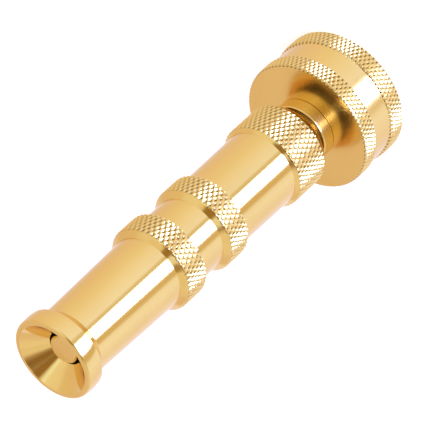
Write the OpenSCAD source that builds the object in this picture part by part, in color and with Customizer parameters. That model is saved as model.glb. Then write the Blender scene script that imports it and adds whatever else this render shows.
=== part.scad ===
// Twist-adjustable brass hose nozzle.
// The axis is Z. The open end of the hose coupling stands at z = 0 and the mouth points up.

/* [Coupling nut] */
// Diameter over the knurled bands
nut_d = 35.1; // [34:0.1:37]
// Length of the nut along the axis
nut_len = 16.25; // [15.75:0.25:18]
// Length of the rear knurled band, at the open end
rear_band_len = 4.65; // [3.5:0.05:5.5]
// Length of the plain band between the knurled bands
plain_band_len = 7.25; // [5:0.05:8]
// Depth of the plain band below the knurled ones
plain_band_drop = 0.55; // [0.3:0.05:1]
// Thickness of the front wall that the swivel bears on
nut_wall = 3.25; // [2.5:0.05:4]
// Inside diameter of the hose thread
hose_thread_d = 25; // [24.5:0.1:25.4]
// Diameter of the recess that holds the hose washer
washer_recess_d = 25.8; // [25.6:0.1:27]

/* [Hose washer] */
// Outside diameter
washer_d = 25.5; // [25.2:0.1:25.5]
// Diameter of the hole
washer_hole_d = 15.9; // [14:0.1:18]
// Thickness
washer_t = 3.2; // [2.5:0.1:3.4]

/* [Swivel] */
// Diameter of the sleeve that the nut turns on
swivel_d = 13.86; // [12.5:0.02:14.5]
// Diameter of the flange inside the nut
flange_d = 24.4; // [22:0.1:25]
// Thickness of the flange
flange_t = 2.15; // [1.5:0.05:2.4]
// Diameter of the waterway
waterway_d = 6.8; // [5:0.1:7.4]

/* [Stem] */
// Diameter of the collar in front of the nut
collar_d = 16.2; // [15:0.1:17.5]
// Length of the collar
collar_len = 3.6; // [3:0.1:5]
// Diameter of the shaft behind the thread
shaft_d = 11.6; // [11:0.1:12.4]
// Outside diameter of the adjusting thread
thread_d = 15.8; // [15.2:0.1:16]
// Diameter of the guide that carries the two seals
guide_d = 13.86; // [13:0.02:14.1]
// Number of water ports round the stem
ports = 4; // [2:1:6]
// Diameter of a water port
port_d = 4.2; // [3:0.1:4.6]

/* [Barrel] */
// Gap between the stem collar and the barrel, set by the twist
open_gap = 2.8; // [0.4:0.1:7.6]
// Diameter over the three knurled bands
band_d = 22.9; // [22:0.1:24]
// Diameter of the rear plain stretch, at its rear end
rear_d = 20.6; // [20:0.1:21]
// Taper of the rear plain stretch on the diameter
rear_taper = 0.5; // [0:0.1:0.8]
// Diameter of the neck between the two front bands
neck_d = 19.5; // [19:0.1:20]
// Diameter behind the neck of the front stretch
front_d = 19.3; // [18.8:0.1:19.6]
// Taper of the front stretch on the diameter
front_taper = 1.35; // [0.8:0.05:1.6]
// Largest diameter of the bell at the mouth
bell_d = 21.8; // [21.4:0.1:22.6]
// Diameter of the mouth at the rim
mouth_d = 18.8; // [18:0.1:19.2]
// Diameter of the throat
throat_d = 8.8; // [8.2:0.1:9.4]
// Diameter of the jet pin that stands in the throat
pin_d = 7.4; // [6.6:0.1:7.6]

/* [Hidden] */

$fn = 96;
eps = 0.5;                    // overrun of a cutting solid
run_gap = 0.07;               // radial clearance of a running fit
end_gap = 0.05;               // axial clearance at a shoulder that turns
o_wire = 1.78;                // section diameter of the O-rings
o_gap = 0.02;                 // gap between a seal and the bore it rubs on

// Coupling nut, measured up the axis
nut_r = nut_d / 2;
edge = 0.45;                  // chamfer at the nut's outer edges
lead_in = 0.8;                // chamfer at the start of the hose thread
wall_z = nut_len - nut_wall;
flange_top = wall_z - end_gap;
flange_z = flange_top - flange_t;
washer_z = flange_z - end_gap - washer_t;
thread_end = washer_z - 0.1;

// Stem, measured up the axis
collar_z = nut_len + end_gap;
socket_d = 9.2;               // socket that the tailpiece is pressed into
socket_end = collar_z + 9.7;
shut_gap = 0.3;               // gap left at the collar when the nozzle is shut
shut_z = collar_z + collar_len + shut_gap;

// Barrel, measured from its rear end
rear_bevel = 2.2;
rear_edge_d = 20;
rear_band_end = 11.6;
rear_start = 12.5;
mid_band = [33, 39.1];
neck_start = 40.4;
front_band = [49.3, 55.5];
front_start = 56.7;
bell_start = 85.1;
bell_band = [87.2, 91.1];     // the broad, slightly crowned part of the bell
bell_crown = 0.15;            // height of that crown on the radius
barrel_len = 91.8;

// Barrel, inside
bore_d = guide_d + 2 * run_gap;
nut_thread_d = thread_d + 0.1;
rear_bore_d = 16.6;
rear_bore_end = 11.5;
nut_thread_end = 30.5;
bore_start = 32;
throat_len = 1;
throat_end = barrel_len - (mouth_d - throat_d) / 2 + 0.2;
seat_top = throat_end - throat_len;
seat_start = seat_top - (bore_d - throat_d) / 2;

// Snap ring and its groove, measured from the barrel's rear end
ring_groove_z = 3.3;
ring_t = 1.2;
ring_groove_d = 17.9;
ring_d = ring_groove_d - 0.2;
ring_hole_d = 13.4;
ring_mouth = 28;              // degrees left open in the ring

// Travel of the barrel on the stem
travel_out = 7.5;
barrel_z = collar_z + collar_len + open_gap;
stem_thread_z = shut_z + ring_groove_z + end_gap + ring_t + travel_out + 0.1;
stem_thread_end = stem_thread_z + 17.65;
guide_z = stem_thread_end + 10.5;
guide_end = guide_z + 11.5;
groove_w = 2.4;
rear_groove_z = guide_z + 2;
front_groove_z = guide_z + 7;
groove_d = bore_d - 2 * o_gap - 2 * o_wire;
stem_neck_d = 10.8;
port_z = guide_end + 6.5;
pin_socket_z = port_z + 3.5;
stem_end = pin_socket_z + 8;
pin_shank_d = 6.4;

// Jet pin, set from the seat as it stands when the nozzle is shut
seat_line = shut_z + seat_top + throat_d / 2;     // z + r along the conical seat
head_line = seat_line - 0.15;                     // z + r along the pin's own cone
head_groove_d = 8.6;
shutoff_r = head_groove_d / 2 + o_wire / 2;
shutoff_z = seat_line - shutoff_r - (o_wire / 2 + 0.03) * sqrt(2);
lip_z = shutoff_z + o_wire / 2;
lip_r = head_line - lip_z;
head_r = 6.2;
head_top = shutoff_z - o_wire / 2 - 0.1;
head_z = head_top - 1.5;
pin_rod_d = 8.4;
pin_top = seat_line - throat_d / 2 + throat_len + 3.4;
pin_edge = 0.35;

// Points on an arc about [r, z], from angle a0 to a1 in n steps
function arc(r, z, radius, a0, a1, n) =
    [for (i = [0:n]) let (a = a0 + (a1 - a0) * i / n) [r + radius * cos(a), z + radius * sin(a)]];

// Radius of the arc that falls by drop on each side of its crest, over a width
function crown_radius(drop, width) = (drop * drop + width * width / 4) / (2 * drop);

module tube(d, hole, z0, z1) {
    translate([0, 0, z0]) difference() {
        cylinder(d = d, h = z1 - z0);
        translate([0, 0, -eps]) cylinder(d = hole, h = z1 - z0 + 2 * eps);
    }
}

module o_ring(centre_r, z) {
    color([0.07, 0.07, 0.07])
        rotate_extrude() translate([centre_r, z]) circle(d = o_wire, $fn = 32);
}

// Outer outline of the barrel from the rear end to the rim
function barrel_outline() = let (
    bell_len = bell_band[1] - bell_band[0],
    crown = crown_radius(bell_crown, bell_len),
    sweep = asin(bell_len / 2 / crown),
    rim_radius = barrel_len - bell_band[1]
) concat(
    [[rear_edge_d / 2, 0], [band_d / 2, rear_bevel], [band_d / 2, rear_band_end]],
    [[rear_d / 2, rear_start], [(rear_d - rear_taper) / 2, mid_band[0]], [band_d / 2, mid_band[0]]],
    [[band_d / 2, mid_band[1]], [neck_d / 2, neck_start], [neck_d / 2, front_band[0]]],
    [[band_d / 2, front_band[0]], [band_d / 2, front_band[1]], [front_d / 2, front_start]],
    [[(front_d - front_taper) / 2, bell_start]],
    arc(bell_d / 2 - crown, (bell_band[0] + bell_band[1]) / 2, crown, -sweep, sweep, 8),
    arc(bell_d / 2 - bell_crown - rim_radius, bell_band[1], rim_radius, 15, 90, 5)
);

// Inner outline of the barrel from the rim back to the rear end
function barrel_bore() = [
    [mouth_d / 2, barrel_len], [throat_d / 2, throat_end], [throat_d / 2, seat_top],
    [bore_d / 2, seat_start], [bore_d / 2, bore_start], [nut_thread_d / 2, nut_thread_end],
    [nut_thread_d / 2, rear_bore_end], [rear_bore_d / 2, rear_bore_end],
    [rear_bore_d / 2, ring_groove_z + ring_t + 2 * end_gap],
    [ring_groove_d / 2, ring_groove_z + ring_t + 2 * end_gap],
    [ring_groove_d / 2, ring_groove_z], [rear_bore_d / 2, ring_groove_z], [rear_bore_d / 2, 0]
];

module barrel() {
    color([0.86, 0.68, 0.36]) translate([0, 0, barrel_z])
        rotate_extrude() polygon(concat(barrel_outline(), barrel_bore()));
}

module snap_ring() {
    color([0.55, 0.56, 0.58]) translate([0, 0, barrel_z + ring_groove_z + end_gap])
        rotate([0, 0, ring_mouth / 2]) rotate_extrude(angle = 360 - ring_mouth)
            translate([ring_hole_d / 2, 0]) square([(ring_d - ring_hole_d) / 2, ring_t]);
}

module stem() {
    color([0.84, 0.66, 0.34]) difference() {
        rotate_extrude() polygon([
            [waterway_d / 2, socket_end], [socket_d / 2, socket_end], [socket_d / 2, collar_z],
            [collar_d / 2 - 0.25, collar_z], [collar_d / 2, collar_z + 0.25],
            [collar_d / 2, collar_z + collar_len - 0.45], [collar_d / 2 - 0.45, collar_z + collar_len],
            [shaft_d / 2, collar_z + collar_len], [shaft_d / 2, stem_thread_z],
            [thread_d / 2, stem_thread_z], [thread_d / 2, stem_thread_end],
            [guide_d / 2 - 0.6, stem_thread_end + 1], [guide_d / 2 - 0.6, guide_z],
            [guide_d / 2, guide_z], [guide_d / 2, rear_groove_z], [groove_d / 2, rear_groove_z],
            [groove_d / 2, rear_groove_z + groove_w], [guide_d / 2, rear_groove_z + groove_w],
            [guide_d / 2, front_groove_z], [groove_d / 2, front_groove_z],
            [groove_d / 2, front_groove_z + groove_w], [guide_d / 2, front_groove_z + groove_w],
            [guide_d / 2, guide_end - 0.5], [guide_d / 2 - 0.5, guide_end],
            [stem_neck_d / 2, guide_end], [stem_neck_d / 2, stem_end - 0.5],
            [stem_neck_d / 2 - 0.5, stem_end], [pin_shank_d / 2, stem_end],
            [pin_shank_d / 2, pin_socket_z], [waterway_d / 2, pin_socket_z]
        ]);
        for (i = [0:ports - 1]) rotate([0, 0, i * 360 / ports]) translate([0, 0, port_z])
            rotate([0, 90, 0]) cylinder(d = port_d, h = stem_neck_d);
    }
}

module jet_pin() {
    color([0.88, 0.7, 0.38]) rotate_extrude() polygon([
        [0, pin_socket_z], [pin_shank_d / 2, pin_socket_z], [pin_shank_d / 2, stem_end],
        [pin_rod_d / 2, stem_end], [pin_rod_d / 2, head_z - 1], [head_r - 0.4, head_z],
        [head_r, head_z + 0.4], [head_r, head_top], [head_groove_d / 2, head_top],
        [head_groove_d / 2, lip_z], [lip_r, lip_z], [pin_d / 2, head_line - pin_d / 2],
        [pin_d / 2, pin_top - pin_edge], [pin_d / 2 - pin_edge, pin_top], [0, pin_top]
    ]);
}

module shutoff_o_ring() o_ring(shutoff_r, shutoff_z);

module front_o_ring() o_ring(groove_d / 2 + o_wire / 2, front_groove_z + groove_w / 2);

module rear_o_ring() o_ring(groove_d / 2 + o_wire / 2, rear_groove_z + groove_w / 2);

module tailpiece() {
    inlet_r = 6;
    color([0.84, 0.66, 0.34]) rotate_extrude() polygon([
        [inlet_r, flange_z], [flange_d / 2, flange_z], [flange_d / 2, flange_top],
        [swivel_d / 2, flange_top], [swivel_d / 2, collar_z], [socket_d / 2, collar_z],
        [socket_d / 2, socket_end], [waterway_d / 2, socket_end],
        [waterway_d / 2, flange_z + inlet_r - waterway_d / 2]
    ]);
}

module coupling_nut() {
    hole_r = swivel_d / 2 + run_gap;
    plain_r = nut_r - plain_band_drop;
    plain_end = rear_band_len + plain_band_len;
    color([0.86, 0.68, 0.36]) rotate_extrude() polygon([
        [hose_thread_d / 2 + lead_in, 0], [nut_r - edge, 0], [nut_r, edge],
        [nut_r, rear_band_len], [plain_r, rear_band_len + plain_band_drop],
        [plain_r, plain_end - plain_band_drop], [nut_r, plain_end], [nut_r, nut_len - edge], [nut_r - edge, nut_len],
        [hole_r, nut_len], [hole_r, wall_z], [washer_recess_d / 2, wall_z],
        [washer_recess_d / 2, thread_end], [hose_thread_d / 2, thread_end],
        [hose_thread_d / 2, lead_in]
    ]);
}

module hose_washer() {
    color([0.1, 0.1, 0.1]) tube(washer_d, washer_hole_d, washer_z, washer_z + washer_t);
}

barrel();
snap_ring();
stem();
jet_pin();
shutoff_o_ring();
front_o_ring();
rear_o_ring();
tailpiece();
coupling_nut();
hose_washer();
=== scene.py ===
"""Looks of the brass hose nozzle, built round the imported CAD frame.

Every turned piece is a surface of revolution about Z, built as rings of points. Knurled bands and
screw threads move the points of their rings in or out. Lengths are in millimetres until a mesh is
made, and z is measured from the coupling's open end.
"""
import math

import bpy
import numpy as np
from mathutils import Matrix, Vector


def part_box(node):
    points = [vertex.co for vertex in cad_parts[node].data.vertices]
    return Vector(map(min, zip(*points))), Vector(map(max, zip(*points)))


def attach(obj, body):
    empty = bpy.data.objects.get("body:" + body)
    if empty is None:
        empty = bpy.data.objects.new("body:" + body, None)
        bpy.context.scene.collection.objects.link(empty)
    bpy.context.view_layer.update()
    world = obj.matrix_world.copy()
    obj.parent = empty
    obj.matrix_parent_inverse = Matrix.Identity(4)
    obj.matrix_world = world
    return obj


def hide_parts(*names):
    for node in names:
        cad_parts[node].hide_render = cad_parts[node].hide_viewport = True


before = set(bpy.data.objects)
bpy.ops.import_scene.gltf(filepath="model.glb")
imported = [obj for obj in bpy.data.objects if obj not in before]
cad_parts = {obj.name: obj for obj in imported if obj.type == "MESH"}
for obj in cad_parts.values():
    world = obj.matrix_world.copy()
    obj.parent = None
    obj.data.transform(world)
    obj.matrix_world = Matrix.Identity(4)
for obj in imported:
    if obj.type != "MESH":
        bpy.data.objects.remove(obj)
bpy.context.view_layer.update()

MM = 0.001
TURN = 2 * math.pi


# ---------------------------------------------------------------- camera

VIEW_ELEVATION = 35.97        # degrees above the horizon, seen from -Y
VIEW_ROLL = -132.58           # degrees, turns the mouth to the lower left
VIEW_DISTANCE = 727.5         # from the coupling's front face, along the view
VIEW_OFFSET = (22.1, 21.3)    # how far that face sits right of and above the view's centre
LENS = 251.2
SENSOR = 36


def make_camera(aim_z):
    """A long lens, looking down on the mouth, aimed beside the point at height aim_z on the axis."""
    tilt, roll = math.radians(VIEW_ELEVATION), math.radians(VIEW_ROLL)
    back = Vector((0, -math.cos(tilt), math.sin(tilt)))
    level = Vector((1, 0, 0))
    rise = Vector((0, math.sin(tilt), math.cos(tilt)))
    right = level * math.cos(roll) + rise * math.sin(roll)
    up = rise * math.cos(roll) - level * math.sin(roll)
    beside = right * VIEW_OFFSET[0] + up * VIEW_OFFSET[1]
    stand = Vector((0, 0, aim_z)) - beside + back * VIEW_DISTANCE
    data = bpy.data.cameras.new("camera")
    data.lens = LENS
    data.sensor_width = SENSOR
    data.clip_start, data.clip_end = 0.01, 20
    camera = bpy.data.objects.new("camera", data)
    bpy.context.scene.collection.objects.link(camera)
    axes = Matrix((right, up, back)).transposed().to_4x4()
    camera.matrix_world = Matrix.Translation(stand * MM) @ axes
    bpy.context.scene.camera = camera


# ---------------------------------------------------------------- turned meshes

ARC_STEPS = 4                 # steps in a rounded corner
SUPPORT = 0.12                # distance of the extra ring that keeps a flat flat
KNURL_STEPS = 10              # mesh steps in one tooth of a knurl, each way
THREAD_STEPS = 12             # mesh steps in one pitch of a screw thread
GROOVE_CURVE = 0.4            # how hollow the flanks of a knurl's grooves are
PIT_SHARE = 0.4               # share of a knurl's depth that only the grooves' crossings reach
THREAD_FLANK = 1.9            # steepness of a thread's flanks
SHARP_ANGLE = 32              # degrees between two faces from which their edge is sharp


class Ring:
    """One ring of a turned surface. relief and lean move its points out and round, split cuts its faces."""

    def __init__(self, r, z, relief=0.0, lean=0.0, split=None):
        self.r, self.z, self.relief, self.lean, self.split = r, z, relief, lean, split

    def meets(self, other):
        return abs(self.r - other.r) < 1e-6 and abs(self.z - other.z) < 1e-6


def rounded(corners):
    """Turns corners (r, z, radius) into points (r, z), with an arc at each corner that has a radius."""
    points = []
    last = len(corners) - 1
    for i, (r, z, radius) in enumerate(corners):
        here = np.array((r, z))
        if radius == 0 or i in (0, last):
            points.append((r, z))
            continue
        before = np.array(corners[i - 1][:2]) - here
        after = np.array(corners[i + 1][:2]) - here
        a, b = before / np.linalg.norm(before), after / np.linalg.norm(after)
        half = math.acos(max(-1, min(1, float(a @ b)))) / 2
        if half > math.radians(88):
            points.append((r, z))
            continue
        reach = radius / math.tan(half)
        room = 0.45 * min(np.linalg.norm(before), np.linalg.norm(after))
        if reach > room:
            radius, reach = radius * room / reach, room
        middle = here + (a + b) / np.linalg.norm(a + b) * (radius / math.sin(half))
        start, end = here + a * reach - middle, here + b * reach - middle
        sweep = math.pi - 2 * half
        for k in range(ARC_STEPS + 1):
            t = k / ARC_STEPS
            swing = (start * math.sin((1 - t) * sweep) + end * math.sin(t * sweep)) / math.sin(sweep)
            points.append(tuple(middle + swing))
    return points


def plain(*corners):
    """Rings of a plain turned stretch, with an extra ring close to each end of every long straight."""
    points = rounded(corners)
    rings = [Ring(*points[0])]
    for (r0, z0), (r1, z1) in zip(points, points[1:]):
        length = math.hypot(r1 - r0, z1 - z0)
        if length > 5 * SUPPORT:
            for t in (SUPPORT / length, 1 - SUPPORT / length):
                rings.append(Ring(r0 + (r1 - r0) * t, z0 + (z1 - z0) * t))
        rings.append(Ring(r1, z1))
    return rings


def arc(centre_r, centre_z, radius, start, end, steps):
    """Rings along an arc of the outline, between two angles in degrees from the outward direction."""
    angles = np.radians(np.linspace(start, end, steps + 1))
    return [Ring(centre_r + radius * math.cos(a), centre_z + radius * math.sin(a)) for a in angles]


def flank(t):
    """Height across one set of a knurl's grooves, from their bottoms at 0 and 1 to the ridge halfway."""
    rise = 1 - np.abs(2 * (t % 1) - 1)
    return (1 + GROOVE_CURVE) * rise - GROOVE_CURVE * rise * rise


def knurl(r, z_start, z_end, teeth, pitch, depth, lean, before, after):
    """Rings of a band with crossing grooves, which leave rows of pyramids with a pit at each crossing.

    The grooves run out in the chamfers, which end at the points before and after. lean is how far the
    crests lean round, as a share of a tooth. Faces are split along the ridge that they belong to.
    """
    count = round((z_end - z_start) / pitch * KNURL_STEPS)
    step = (z_end - z_start) / count
    lead = round((z_start - before[1]) / step)
    tail = round((after[1] - z_end) / step)
    heights = list(np.linspace(before[1], z_start, lead, endpoint=False))
    heights += list(np.linspace(z_start, z_end, count, endpoint=False))
    heights += list(np.linspace(z_end, after[1], tail + 1))
    x = np.arange(teeth * KNURL_STEPS) / KNURL_STEPS
    middle = 0.5 / KNURL_STEPS
    most_lean = lean * TURN / teeth
    ends = (0, len(heights) - 1)
    rings = []
    for j, z in enumerate(heights):
        y = (j - lead) / KNURL_STEPS
        left, right = flank(x + y), flank(x - y)
        height = (1 - PIT_SHARE) * np.maximum(left, right) + PIT_SHARE * np.minimum(left, right)
        outline = np.interp(z, (before[1], z_start, z_end, after[1]), (before[0], r, r, after[0]))
        surface = np.minimum(outline, r - depth * (1 - height))
        falling = flank(x + middle + y + middle) > flank(x + middle - y - middle)
        swing = 0.0 if j in ends else most_lean * np.clip((surface - r + depth) / depth, 0, 1)
        rings.append(Ring(outline, z, surface - outline, swing, falling))
    return rings


def thread(r, z_start, z_end, pitch, rise, run_out, count, shift=0.0):
    """Rings of a right-hand screw thread, which rises outward from r, or inward where rise is negative.

    shift moves it along by a share of its pitch. Half a pitch apart, two threads fit together.
    """
    steps = round(abs(z_end - z_start) / pitch * THREAD_STEPS)
    turn = np.arange(count) / count
    rings = []
    for j in range(steps + 1):
        z = z_start + (z_end - z_start) * j / steps
        phase = (z / pitch - turn + shift) % 1
        ridge = np.clip((0.5 - np.abs(2 * phase - 1)) * THREAD_FLANK + 0.5, 0, 1)
        fade = min(1, abs(z - z_start) / run_out, abs(z_end - z) / run_out)
        rings.append(Ring(r, z, rise * fade * ridge))
    return rings


def joined(*stretches):
    """One list of rings from stretches that meet end to end."""
    rings = []
    for stretch in stretches:
        for ring in stretch:
            if rings and ring.meets(rings[-1]):
                rings.pop()
            rings.append(ring)
    if rings[0].meets(rings[-1]):
        rings.pop()
    return rings


def turned(name, rings, segments, closed=True):
    """Makes the mesh. A ring of radius 0 is a single point at the end of a solid piece."""
    angle = np.arange(segments) * TURN / segments
    points, first = [], []
    for ring in rings:
        first.append(len(points))
        if ring.r == 0:
            points.append((0, 0, ring.z * MM))
            continue
        reach, swing = (ring.r + ring.relief) * MM, angle + ring.lean
        x, y = reach * np.cos(swing), reach * np.sin(swing)
        points.extend(zip(x.tolist(), y.tolist(), [ring.z * MM] * segments))
    faces = []
    pairs = list(zip(range(len(rings) - 1), range(1, len(rings))))
    if closed:
        pairs.append((len(rings) - 1, 0))
    for a, b in pairs:
        low, high = first[a], first[b]
        split = rings[a].split if rings[b].split is not None else None
        for i in range(segments):
            n = (i + 1) % segments
            if rings[a].r == 0:
                faces.append((low, high + n, high + i))
            elif rings[b].r == 0:
                faces.append((low + i, low + n, high))
            elif split is None:
                faces.append((low + i, low + n, high + n, high + i))
            elif split[i]:
                faces.append((low + i, low + n, high + i))
                faces.append((low + n, high + n, high + i))
            else:
                faces.append((low + i, low + n, high + n))
                faces.append((low + i, high + n, high + i))
    mesh = bpy.data.meshes.new(name)
    mesh.from_pydata(points, [], faces)
    mesh.polygons.foreach_set("use_smooth", [True] * len(mesh.polygons))
    mesh.set_sharp_from_angle(angle=math.radians(SHARP_ANGLE))
    mesh.validate()
    piece = bpy.data.objects.new(name, mesh)
    bpy.context.scene.collection.objects.link(piece)
    return piece


def place(piece, body, node, material):
    """Puts a finished piece on its body, in place of its CAD node."""
    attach(piece, body)
    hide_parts(node)
    piece.data.materials.append(material)


def top(node):
    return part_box(node)[1].z / MM


def bottom(node):
    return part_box(node)[0].z / MM


def radius(node):
    return (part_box(node)[1].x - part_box(node)[0].x) / 2 / MM


# ---------------------------------------------------------------- materials

BRASS = (0.87, 0.63, 0.2)
DULL_BRASS = (0.82, 0.57, 0.17)
KNURL_ROUGHNESS = 0.24
PIT_DEPTH = 0.75              # share of a knurl's depth over which the shade painted into its pits fades out
CHAMFER_SLOPE = 0.62          # vertical part of the normal from which a face is a chamfer's
PAINTED_PIT_SHADE = (0.09, 0.07, 0.02)    # painted shade: how far the colour at the bottoms of the knurl's pits is darkened


def node_tools(material):
    """Short helpers for building a node tree."""
    tree = material.node_tree
    tree.nodes.clear()

    def add(kind, **settings):
        made = tree.nodes.new(kind)
        for key, value in settings.items():
            setattr(made, key, value)
        return made

    def math_node(operation, a, b=None):
        made = add("ShaderNodeMath", operation=operation)
        for socket, value in zip(made.inputs, (a, b)):
            if value is None:
                continue
            if isinstance(value, (int, float)):
                socket.default_value = value
            else:
                tree.links.new(value, socket)
        return made.outputs[0]

    return add, math_node, tree.links.new


def noise(add, link, where, scale, detail=2):
    """A noise pattern's value, at the position where."""
    pattern = add("ShaderNodeTexNoise")
    pattern.inputs["Scale"].default_value = scale
    pattern.inputs["Detail"].default_value = detail
    link(where, pattern.inputs["Vector"])
    return pattern.outputs["Fac"]


def tones(add, link, factor, first, second, start=0.0, end=1.0):
    """A colour that goes from first to second as factor goes from start to end."""
    ramp = add("ShaderNodeValToRGB")
    low, high = ramp.color_ramp.elements
    low.position, high.position = start, end
    low.color, high.color = (*first, 1), (*second, 1)
    link(factor, ramp.inputs["Fac"])
    return ramp.outputs["Color"]


def bumped(add, link, height, strength, depth):
    """A normal roughened by a pattern. depth is in millimetres."""
    bump = add("ShaderNodeBump")
    bump.inputs["Strength"].default_value = strength
    bump.inputs["Distance"].default_value = depth * MM
    link(height, bump.inputs["Height"])
    return bump.outputs["Normal"]


def shaded(add, link, metallic, colour, rough):
    """The surface shader, linked to the material's output."""
    shader = add("ShaderNodeBsdfPrincipled")
    shader.inputs["Metallic"].default_value = metallic
    link(colour, shader.inputs["Base Color"])
    link(rough, shader.inputs["Roughness"])
    output = add("ShaderNodeOutputMaterial")
    link(shader.outputs[0], output.inputs["Surface"])
    return shader


def ring_coordinates(add, math_node, link, where):
    """Distance from the axis and height, in millimetres."""
    split = add("ShaderNodeSeparateXYZ")
    link(where, split.inputs[0])
    x2, y2 = [math_node("POWER", split.outputs[i], 2) for i in (0, 1)]
    from_axis = math_node("MULTIPLY", math_node("SQRT", math_node("ADD", x2, y2)), 1 / MM)
    return from_axis, math_node("MULTIPLY", split.outputs[2], 1 / MM)


def shade_painted_in_pits(add, math_node, link, colour, from_axis, knurled, root):
    """The colour, with shade painted in: darker toward the bottoms of the knurl's pits."""
    depth = add("ShaderNodeMapRange", interpolation_type="SMOOTHSTEP")
    depth.inputs["From Min"].default_value = root
    depth.inputs["From Max"].default_value = root + KNURL_DEPTH * PIT_DEPTH
    depth.inputs["To Min"].default_value = 1
    depth.inputs["To Max"].default_value = 0
    link(from_axis, depth.inputs["Value"])
    shade = add("ShaderNodeMix", data_type="RGBA", blend_type="MULTIPLY")
    link(math_node("MULTIPLY", knurled, depth.outputs[0]), shade.inputs[0])
    link(colour, shade.inputs[6])
    shade.inputs[7].default_value = (*PAINTED_PIT_SHADE, 1)
    return shade.outputs[2]


def brass(name, roughness, anisotropy, marks, crest=None):
    """Turned brass. marks is the depth of the tool marks, crest the radius over its knurls, if any."""
    material = bpy.data.materials.new(name)
    material.use_nodes = True
    add, math_node, link = node_tools(material)
    where = add("ShaderNodeTexCoord")
    from_axis, height = ring_coordinates(add, math_node, link, where.outputs["Object"])
    rings = add("ShaderNodeCombineXYZ")
    link(from_axis, rings.inputs[0])
    link(height, rings.inputs[1])
    fine = noise(add, link, rings.outputs[0], 5.5, 3)
    cloud = noise(add, link, where.outputs["Object"], 55, 4)
    speck = noise(add, link, where.outputs["Object"], 900)

    drift = math_node("ADD", math_node("MULTIPLY", cloud, 0.7), math_node("MULTIPLY", fine, 0.3))
    colour = tones(add, link, drift, DULL_BRASS, BRASS, 0.3, 0.7)
    rough = math_node("ADD", math_node("MULTIPLY", fine, roughness * 0.4), roughness * 0.8)
    rough = math_node("ADD", rough, math_node("MULTIPLY", speck, 0.02))
    if crest:
        root = crest - KNURL_DEPTH
        slope = add("ShaderNodeSeparateXYZ")
        link(where.outputs["Normal"], slope.inputs[0])
        upright = math_node("LESS_THAN", math_node("ABSOLUTE", slope.outputs[2]), CHAMFER_SLOPE)
        knurled = math_node("MULTIPLY", upright, math_node("GREATER_THAN", from_axis, root - 0.01))
        rough = math_node("ADD", rough, math_node("MULTIPLY", knurled, KNURL_ROUGHNESS - roughness))
        # paints shade into the knurl's pits: darker the nearer the surface lies to the axis
        colour = shade_painted_in_pits(add, math_node, link, colour, from_axis, knurled, root)

    shader = shaded(add, link, 1, colour, rough)
    shader.inputs["Anisotropic"].default_value = anisotropy
    shader.inputs["Anisotropic Rotation"].default_value = 0.25
    link(bumped(add, link, fine, 0.5, marks), shader.inputs["Normal"])
    tangent = add("ShaderNodeTangent", direction_type="RADIAL", axis="Z")
    link(tangent.outputs["Tangent"], shader.inputs["Tangent"])
    return material


def steel():
    """Spring steel of the snap ring."""
    material = bpy.data.materials.new("spring_steel")
    material.use_nodes = True
    add, math_node, link = node_tools(material)
    where = add("ShaderNodeTexCoord").outputs["Object"]
    grain = noise(add, link, where, 1500)
    colour = tones(add, link, grain, (0.3, 0.3, 0.31), (0.6, 0.6, 0.62))
    shaded(add, link, 1, colour, math_node("ADD", math_node("MULTIPLY", grain, 0.2), 0.2))
    return material


def rubber():
    """Matt black rubber with a fine moulded grain and a little bloom."""
    material = bpy.data.materials.new("black_rubber")
    material.use_nodes = True
    add, math_node, link = node_tools(material)
    where = add("ShaderNodeTexCoord").outputs["Object"]
    grain = noise(add, link, where, 2500, 3)
    bloom = noise(add, link, where, 180)
    colour = tones(add, link, bloom, (0.008, 0.008, 0.008), (0.03, 0.03, 0.032))
    rough = math_node("ADD", math_node("MULTIPLY", bloom, 0.2), 0.5)
    shader = shaded(add, link, 0, colour, rough)
    link(bumped(add, link, grain, 0.4, 0.03), shader.inputs["Normal"])
    return material


# ---------------------------------------------------------------- pieces

EDGE = 0.12                   # rounding of a turned edge
FINE = 0.05                   # rounding of an edge that was only deburred
BARREL_TEETH = 51
BARREL_PITCH = 2.3            # of the knurl, along the axis
NUT_TEETH = 88
NUT_PITCH = 2.17
KNURL_DEPTH = 0.52
KNURL_LEAN = 0.02             # share of a tooth by which the crests lean round
ADJUST_PITCH = 2.5            # adjusting thread
ADJUST_DEPTH = 0.75
HOSE_PITCH = 25.4 / 11.5
HOSE_DEPTH = 1.05
PRESS_BORE = 4.6              # radius where the tailpiece is pressed into the stem
WATERWAY = 3.4                # radius of the bore through tailpiece and stem
PIN_BORE = 3.2                # radius where the jet pin is pressed into the stem
SWIVEL = 6.93                 # radius of the tailpiece where the nut turns on it
INNER_SEGMENTS = 360
RING_SEGMENTS = 180           # round an O-ring


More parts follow.
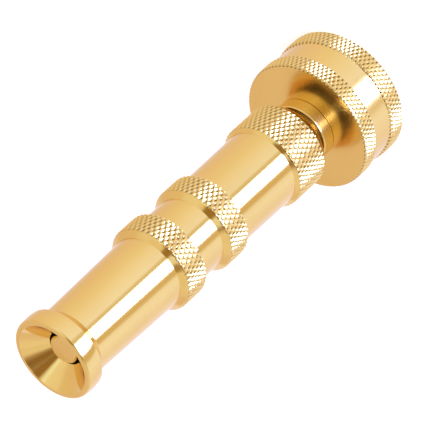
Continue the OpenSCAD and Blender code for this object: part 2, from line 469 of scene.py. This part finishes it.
def make_barrel(material):
    """Outer sleeve. Heights are from its rear end until at() turns them into the frame's."""
    start, end = bottom("barrel"), top("barrel")
    band = radius("barrel")
    segments = BARREL_TEETH * KNURL_STEPS
    rear_edge, rear, rear_end, neck, front, front_end = 10, 10.3, 10.05, 9.75, 9.65, 8.975
    rear_band, mid_band, front_band = (2.2, 11.6), (33, 39.1), (49.3, 55.5)
    rear_start, neck_start, front_start = 12.5, 40.4, 56.7
    bevel, foot = 0.2, band - KNURL_DEPTH - 0.05
    bell, crown, rim_radius, bell_start = 10.9, 0.15, 0.7, 85.1
    bell_rear, bell_front = start + 87.2, end - rim_radius
    mouth, throat, bore = 9.4, 4.4, 7.0
    throat_front, throat_rear, seat_start, bore_start = 87, 86, 83.4, 32
    nut_thread, thread_start, thread_end = 7.95, 11.5, 30.5
    rear_bore, ring_groove, groove_ends = 8.3, 8.95, (3.3, 4.6)

    def at(z):
        return start + z

    def band_rings(span, before, after):
        before, after = (before[0], at(before[1])), (after[0], at(after[1]))
        return knurl(band, at(span[0]), at(span[1]), BARREL_TEETH, BARREL_PITCH,
                     KNURL_DEPTH, KNURL_LEAN, before, after)

    half_bell = (bell_front - bell_rear) / 2
    crown_radius = (crown ** 2 + half_bell ** 2) / (2 * crown)
    sweep = math.degrees(math.asin(half_bell / crown_radius))
    shoulder = bell - crown
    rings = joined(
        plain((rear_bore, start, 0), (rear_edge, start, FINE), (rear_edge + bevel, at(0.3), 0)),
        band_rings(rear_band, (rear_edge + bevel, 0.3), (rear, rear_start)),
        plain((rear, at(rear_start), 0), (rear_end, at(mid_band[0]), FINE), (foot, at(mid_band[0]), 0)),
        band_rings(mid_band, (band, mid_band[0]), (neck, neck_start)),
        plain((neck, at(neck_start), 0), (neck, at(front_band[0]), FINE), (foot, at(front_band[0]), 0)),
        band_rings(front_band, (band, front_band[0]), (front, front_start)),
        plain((front, at(front_start), 0), (front_end, at(bell_start), 0.5), (shoulder, bell_rear, 0.25),
              (shoulder + crown / 2, bell_rear + 0.6, 0)),
        arc(bell - crown_radius, (bell_rear + bell_front) / 2, crown_radius, -0.6 * sweep, sweep, 8),
        arc(shoulder - rim_radius, bell_front, rim_radius, 8, 90, 8),
        plain((shoulder - rim_radius, end, 0), (mouth, end, FINE), (throat, at(throat_front), EDGE),
              (throat, at(throat_rear), EDGE), (bore, at(seat_start), EDGE), (bore, at(bore_start), EDGE),
              (nut_thread, at(thread_end), 0)),
        thread(nut_thread, at(thread_end - 0.1), at(thread_start + 0.1), ADJUST_PITCH, -ADJUST_DEPTH,
               1.5, segments),
        plain((nut_thread, at(thread_start), 0), (rear_bore, at(thread_start), EDGE),
              (rear_bore, at(groove_ends[1]), FINE), (ring_groove, at(groove_ends[1]), FINE),
              (ring_groove, at(groove_ends[0]), FINE), (rear_bore, at(groove_ends[0]), FINE),
              (rear_bore, start, 0)))
    place(turned("barrel_turned", rings, segments), "barrel", "barrel", material)


def make_coupling_nut(material):
    """Knurled nut with the inside hose thread. Its open end is at height 0."""
    outer, length = radius("coupling_nut"), top("coupling_nut")
    segments = NUT_TEETH * KNURL_STEPS
    drop = 0.55
    groove = outer - drop
    hose, recess, hole = 12.5, 12.9, 7.0
    lead_in, edge, wall, thread_end = 0.8, 0.45, length - 3.25, 7.45
    rear_band, front_band = (edge, 4.65), (11.9, length - edge)

    def band_rings(span, before, after):
        return knurl(outer, *span, NUT_TEETH, NUT_PITCH, KNURL_DEPTH, -KNURL_LEAN, before, after)

    rings = joined(
        plain((hose + lead_in, 0, 0), (outer - edge, 0, 0)),
        band_rings(rear_band, (outer - edge, 0), (groove, rear_band[1] + drop)),
        plain((groove, rear_band[1] + drop, 0), (groove, front_band[0] - drop, 0)),
        band_rings(front_band, (groove, front_band[0] - drop), (outer - edge, length)),
        plain((outer - edge, length, 0), (hole, length, EDGE), (hole, wall, EDGE), (recess, wall, EDGE),
              (recess, thread_end, FINE), (hose, thread_end, 0)),
        thread(hose, thread_end - 0.05, lead_in + 0.05, HOSE_PITCH, HOSE_DEPTH, 1.0, segments),
        plain((hose, lead_in, 0), (hose + lead_in, 0, 0)))
    piece = turned("coupling_nut_turned", rings, segments)
    place(piece, "coupling", "coupling_nut", material)


def make_stem(material):
    """Inner body: collar, shaft, outside thread, and the guide with its two seal grooves."""
    z0, z1 = bottom("stem"), top("stem")
    collar, shaft, screw = radius("stem"), 5.8, 7.9 - ADJUST_DEPTH
    guide, relief, seal, neck = 6.93, 0.6, 5.2, 5.4
    collar_end, screw_start, screw_end = z0 + 3.6, 32.35, 50.45
    guide_start, seals, guide_end = 60.5, ((62.5, 64.9), (67.5, 69.9)), 72
    press_end, pin_start = 26, 82
    grooves = []
    for low, high in seals:
        grooves += [(guide, low, EDGE), (seal, low, 0.1), (seal, high, 0.1), (guide, high, EDGE)]
    rings = joined(
        plain((PRESS_BORE, z0, 0), (collar, z0, EDGE), (collar, collar_end, 0.4), (shaft, collar_end, 0.15),
              (shaft, screw_start, EDGE), (screw, screw_start, 0)),
        thread(screw, screw_start + 0.05, screw_end - 0.05, ADJUST_PITCH, ADJUST_DEPTH, 1.2,
               INNER_SEGMENTS, shift=0.5),
        plain((screw, screw_end, 0), (guide - relief, 51, 0), (guide - relief, guide_start, 0.1),
              (guide, guide_start, EDGE), *grooves, (guide, guide_end, 0.4), (neck, guide_end, 0.3),
              (neck, z1, 0.4), (PIN_BORE, z1, 0), (PIN_BORE, pin_start, 0), (WATERWAY, pin_start, 0),
              (WATERWAY, press_end, 0), (PRESS_BORE, press_end, 0), (PRESS_BORE, z0, 0)))
    place(turned("stem_turned", rings, INNER_SEGMENTS), "stem", "stem", material)


def make_jet_pin(material):
    """Solid pin: press fit, cone with the shut-off seal's groove, and the tip that shows in the mouth."""
    z0, z1 = bottom("jet_pin"), top("jet_pin")
    shank, tip, cone, groove, lip = 4.2, 3.7, 6.2, 4.3, 5.4
    cone_start, groove_start, groove_end, tip_start = 100.6, 103.1, 105, 106.75
    press_end, chamfer = z0 + 8, 0.35
    rings = plain((0, z0, 0), (PIN_BORE, z0, EDGE), (PIN_BORE, press_end, 0), (shank, press_end, EDGE),
                  (shank, cone_start, 0.3), (cone - 0.4, cone_start + 1, 0.2), (cone, cone_start + 1.4, 0.2),
                  (cone, groove_start, EDGE), (groove, groove_start, 0.1), (groove, groove_end, 0.1),
                  (lip, groove_end, 0.1), (tip, tip_start, 0.3), (tip, z1 - chamfer, 0.08),
                  (tip - chamfer, z1, 0.08), (0, z1, 0))
    piece = turned("jet_pin_turned", rings, INNER_SEGMENTS, closed=False)
    place(piece, "stem", "jet_pin", material)


def make_tailpiece(material):
    """Flanged sleeve that holds the coupling nut on the stem."""
    z0, z1 = bottom("tailpiece"), top("tailpiece")
    flange, inlet, sleeve_end = radius("tailpiece"), 6, 16.3
    flange_end, inlet_end = z0 + 2.15, z0 + 2.6
    rings = joined(plain((inlet, z0, 0), (flange, z0, EDGE), (flange, flange_end, EDGE),
                         (SWIVEL, flange_end, 0.1), (SWIVEL, sleeve_end, EDGE), (PRESS_BORE, sleeve_end, 0),
                         (PRESS_BORE, z1, 0), (WATERWAY, z1, 0), (WATERWAY, inlet_end, 0.3), (inlet, z0, 0)))
    place(turned("tailpiece_turned", rings, INNER_SEGMENTS), "stem", "tailpiece", material)


def make_o_ring(node, material):
    """A moulded ring with its thin parting line."""
    wire = (top(node) - bottom(node)) / 2
    centre_r, centre_z = radius(node) - wire, (top(node) + bottom(node)) / 2
    steps = 36
    rings = []
    for k in range(steps):
        swing = TURN * k / steps
        flash = 1.0 if k % (steps // 2) == 0 else 0.985
        rings.append(Ring(centre_r + wire * flash * math.cos(swing), centre_z + wire * math.sin(swing)))
    place(turned(node + "_moulded", rings, RING_SEGMENTS), "stem", node, material)


def make_washer(material):
    """Flat hose washer with rounded edges."""
    z0, z1 = bottom("hose_washer"), top("hose_washer")
    outer, hole, edge = radius("hose_washer"), 7.95, 0.35
    middle = (z0 + z1) / 2
    rings = joined(plain((hole, middle, 0), (hole, z0, edge), (outer, z0, edge), (outer, z1, edge),
                         (hole, z1, edge), (hole, middle, 0)))
    piece = turned("hose_washer_moulded", rings, INNER_SEGMENTS)
    place(piece, "coupling", "hose_washer", material)


# ---------------------------------------------------------------- studio

SOFTBOX = (8, 10, 26)
FRONT_LIGHT = (3.5, 4.2, 10)   # a small lamp above the softbox
LIGHT_BANDS = (
    # Elevations over which the band below fades into this one, and its colours by azimuth, both in
    # degrees. Azimuth is measured from the camera's side.
    (-90, -89, (
        (-180, (0.95, 0.85, 0.80)),
        (-60, (0.95, 0.85, 0.80)),
        (-10, (0.75, 0.60, 0.42)),
        (60, (0.95, 0.85, 0.80)),
        (180, (0.95, 0.85, 0.80)),
    )),
    (-66, -58, (
        (-180, (1.02, 0.97, 1.28)),
        (-110, (1.02, 0.97, 1.30)),
        (-78, (1.07, 1.12, 1.70)),
        (-64, (1.05, 1.08, 1.55)),
        (-56, (0.80, 0.67, 0.58)),
        (-46, (0.76, 0.61, 0.48)),
        (-40, (0.90, 0.78, 0.80)),
        (-38, SOFTBOX),
        (-11, SOFTBOX),
        (-9, (0.80, 0.74, 0.72)),
        (-1, (0.80, 0.72, 0.66)),
        (5, (1.05, 1.10, 1.70)),
        (36, (1.04, 1.03, 1.35)),
        (60, (0.99, 0.93, 1.02)),
        (110, (0.93, 0.78, 0.80)),
        (140, (0.87, 0.74, 0.80)),
        (180, (1.02, 0.97, 1.28)),
    )),
    (8, 12, (
        (-180, (0.87, 0.72, 0.78)),
        (-140, (0.87, 0.72, 0.78)),
        (-100, (0.98, 0.92, 1.05)),
        (-60, (0.72, 0.66, 0.55)),
        (28, (0.72, 0.66, 0.55)),
        (45, (1.01, 1.10, 1.75)),
        (62, (0.98, 0.93, 1.05)),
        (100, (0.89, 0.76, 0.73)),
        (140, (0.87, 0.72, 0.73)),
        (180, (0.87, 0.72, 0.78)),
    )),
    (26, 30, (
        (-180, (0.87, 0.72, 0.78)),
        (-100, (0.98, 0.92, 1.05)),
        (-60, (0.72, 0.66, 0.55)),
        (-42, (0.72, 0.66, 0.55)),
        (-38, FRONT_LIGHT),
        (-24, FRONT_LIGHT),
        (-20, (0.72, 0.66, 0.55)),
        (28, (0.72, 0.66, 0.55)),
        (45, (1.01, 1.10, 1.75)),
        (62, (0.98, 0.93, 1.05)),
        (100, (0.89, 0.76, 0.73)),
        (180, (0.87, 0.72, 0.78)),
    )),
    (40, 46, (
        (-180, (0.85, 0.74, 0.70)),
        (-78, (0.96, 0.90, 0.95)),
        (-64, (0.46, 0.33, 0.25)),
        (-50, (0.30, 0.17, 0.06)),
        (12, (0.34, 0.20, 0.09)),
        (22, (0.90, 0.90, 0.95)),
        (32, (1.09, 1.30, 1.75)),
        (48, (1.00, 0.98, 1.10)),
        (180, (0.85, 0.74, 0.70)),
    )),
    (60, 64, (
        (-180, (0.85, 0.74, 0.70)),
        (-96, (0.80, 0.70, 0.65)),
        (-88, (0.46, 0.33, 0.20)),
        (-66, (0.42, 0.30, 0.16)),
        (-58, (1.00, 1.05, 1.30)),
        (-24, (1.00, 1.05, 1.30)),
        (-14, (0.38, 0.25, 0.10)),
        (30, (0.36, 0.23, 0.08)),
        (44, (0.95, 0.88, 0.90)),
        (180, (0.85, 0.74, 0.70)),
    )),
)


def make_world():
    """Studio light by direction: a softbox, a lamp above it, dark patches, and plain white as backdrop."""
    world = bpy.data.worlds.new("studio")
    bpy.context.scene.world = world
    world.use_nodes = True
    add, math_node, link = node_tools(world)
    where = add("ShaderNodeTexCoord")
    split = add("ShaderNodeSeparateXYZ")
    link(where.outputs["Generated"], split.inputs[0])
    around = math_node("ARCTAN2", split.outputs[0], math_node("MULTIPLY", split.outputs[1], -1))
    fraction = math_node("ADD", math_node("DIVIDE", around, TURN), 0.5)
    elevation = math_node("DEGREES", math_node("ARCSINE", split.outputs[2]))
    light = None
    for low, high, tones in LIGHT_BANDS:
        ramp = add("ShaderNodeValToRGB")
        stops = ramp.color_ramp.elements
        while len(stops) < len(tones):
            stops.new(0.5)
        for stop, (azimuth, colour) in zip(stops, tones):
            stop.position = azimuth / 360 + 0.5
            stop.color = (*colour, 1)
        link(fraction, ramp.inputs["Fac"])
        if light is None:
            light = ramp.outputs["Color"]
            continue
        fade = add("ShaderNodeMapRange", interpolation_type="SMOOTHSTEP")
        fade.inputs["From Min"].default_value = low
        fade.inputs["From Max"].default_value = high
        link(elevation, fade.inputs["Value"])
        blend = add("ShaderNodeMix", data_type="RGBA")
        link(fade.outputs[0], blend.inputs[0])
        link(light, blend.inputs[6])
        link(ramp.outputs["Color"], blend.inputs[7])
        light = blend.outputs[2]
    sky = add("ShaderNodeBackground")
    link(light, sky.inputs["Color"])
    seen = add("ShaderNodeBackground")
    seen.inputs["Color"].default_value = (1.1, 1.1, 1.1, 1)
    path = add("ShaderNodeLightPath")
    mix = add("ShaderNodeMixShader")
    link(path.outputs["Is Camera Ray"], mix.inputs["Fac"])
    link(sky.outputs[0], mix.inputs[1])
    link(seen.outputs[0], mix.inputs[2])
    output = add("ShaderNodeOutputWorld")
    link(mix.outputs[0], output.inputs["Surface"])


def make_floor():
    """A plain white floor, kept out of the metal's reflections so that the studio shows in them."""
    size, drop = 6, -0.2 * MM
    mesh = bpy.data.meshes.new("floor")
    corners = [(-size, -size, drop), (size, -size, drop), (size, size, drop), (-size, size, drop)]
    mesh.from_pydata(corners, [], [(0, 1, 2, 3)])
    floor = bpy.data.objects.new("floor", mesh)
    bpy.context.scene.collection.objects.link(floor)
    floor.visible_glossy = False
    floor.visible_shadow = False
    material = bpy.data.materials.new("floor")
    material.use_nodes = True
    shader = material.node_tree.nodes["Principled BSDF"]
    shader.inputs["Base Color"].default_value = (0.9, 0.9, 0.9, 1)
    shader.inputs["Roughness"].default_value = 1
    shader.inputs["Specular IOR Level"].default_value = 0
    shader.inputs["Emission Color"].default_value = (1, 1, 1, 1)
    shader.inputs["Emission Strength"].default_value = 0.45
    mesh.materials.append(material)


# ---------------------------------------------------------------- the scene

bpy.context.scene.view_settings.view_transform = "Standard"
make_camera(top("coupling_nut"))
make_world()
make_floor()

polished = brass("barrel_brass", 0.1, 0.4, 0.004, radius("barrel"))
satin = brass("coupling_brass", 0.20, 0.4, 0.006, radius("coupling_nut"))
inner = brass("stem_brass", 0.26, 0.5, 0.005)
black = rubber()

make_barrel(polished)
make_coupling_nut(satin)
make_stem(inner)
make_jet_pin(inner)
make_tailpiece(inner)
make_washer(black)
for node in ("shutoff_o_ring", "front_o_ring", "rear_o_ring"):
    make_o_ring(node, black)
snap_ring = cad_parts["snap_ring"]
snap_ring.data.materials.clear()
snap_ring.data.materials.append(steel())
